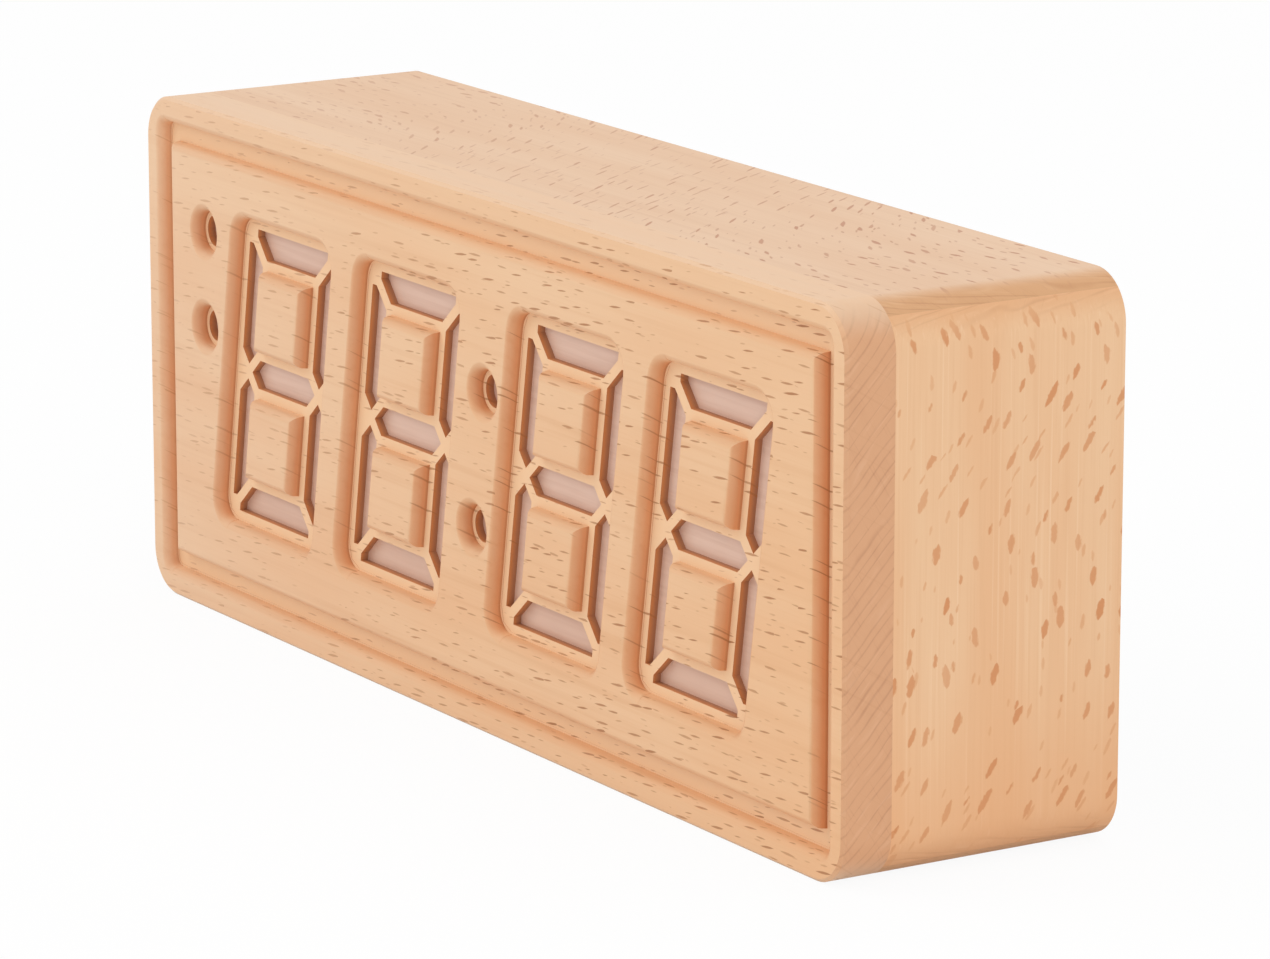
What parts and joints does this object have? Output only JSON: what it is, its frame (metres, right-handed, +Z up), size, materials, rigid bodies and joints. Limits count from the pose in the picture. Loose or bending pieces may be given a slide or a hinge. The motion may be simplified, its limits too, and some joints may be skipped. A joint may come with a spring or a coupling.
{
  "type": "alarm clock",
  "caption": "Beech desk alarm clock: rounded mitred case, carved front with leaning segment digits lit from behind, plastic back with buttons, alarm switch, power socket and battery door.",
  "frame": {"origin": "middle of the footprint, on the surface that the clock stands on", "axes": "+X to the right as seen from the front, +Y to the back, +Z up; the carved front faces -Y"},
  "size_m": [0.2, 0.046, 0.081],
  "materials": {
    "beech_front": "oiled beech",
    "beech_top": "oiled beech",
    "beech_side": "oiled beech",
    "beech_block": "raw beech",
    "diffuser": "frosted",
    "white_plastic": "matte",
    "circuit_board": "lacquered",
    "lamp": "clear",
    "chip": "matte",
    "screw_steel": "zinc plated",
    "plated_steel": "nickel plated",
    "grey_plastic": "matte",
    "black_plastic": "fine grained",
    "button_plastic": "satin",
    "cell_wrap": "gloss wrap",
    "lead_cover": "flexible"
  },
  "bodies": {
    "case": {"front_panel": "beech_front", "top_board": "beech_top", "bottom_board": "beech_top", "left_side_board": "beech_side", "right_side_board": "beech_side", "corner_blocks": "beech_block", "diffuser_sheet": "diffuser", "segment_reflector": "white_plastic", "display_board": "circuit_board", "display_lamps": "lamp", "display_driver_chip": "chip", "display_screws": "screw_steel", "display_ribbon": "grey_plastic", "rear_cover": "black_plastic", "rear_cover_screws": "screw_steel", "control_board": "circuit_board", "control_board_screws": "screw_steel", "clock_chip": "chip", "quartz_can": "plated_steel", "tact_switches": "chip", "alarm_switch_body": "plated_steel", "power_socket": "chip", "power_socket_pin": "plated_steel", "buzzer": "chip", "battery_cells": "cell_wrap", "battery_contacts": "plated_steel", "battery_wires": "lead_cover"},
    "set_key": {"set_button": "button_plastic", "set_plunger": "chip"},
    "up_key": {"up_button": "button_plastic", "up_plunger": "chip"},
    "down_key": {"down_button": "button_plastic", "down_plunger": "chip"},
    "alarm_slider": {"alarm_switch_knob": "button_plastic"},
    "door": {"battery_door": "black_plastic"}
  },
  "joints": [
    {"name": "set_press", "type": "slide", "parent": "case", "child": "set_key", "axis": [0, -1, 0], "range_m": [0, 0.0005], "stiffness_N_per_m": 3000},
    {"name": "up_press", "type": "slide", "parent": "case", "child": "up_key", "axis": [0, -1, 0], "range_m": [0, 0.0005], "stiffness_N_per_m": 3000},
    {"name": "down_press", "type": "slide", "parent": "case", "child": "down_key", "axis": [0, -1, 0], "range_m": [0, 0.0005], "stiffness_N_per_m": 3000},
    {"name": "alarm_slide", "type": "slide", "parent": "case", "child": "alarm_slider", "axis": [1, 0, 0], "range_m": [0, 0.003]},
    {"name": "door_hinge", "type": "hinge", "parent": "case", "child": "door", "pos_m": [-0.04, 0.0209, 0.02315], "axis": [-1, 0, 0], "range_deg": [0, 80]}
  ]
}
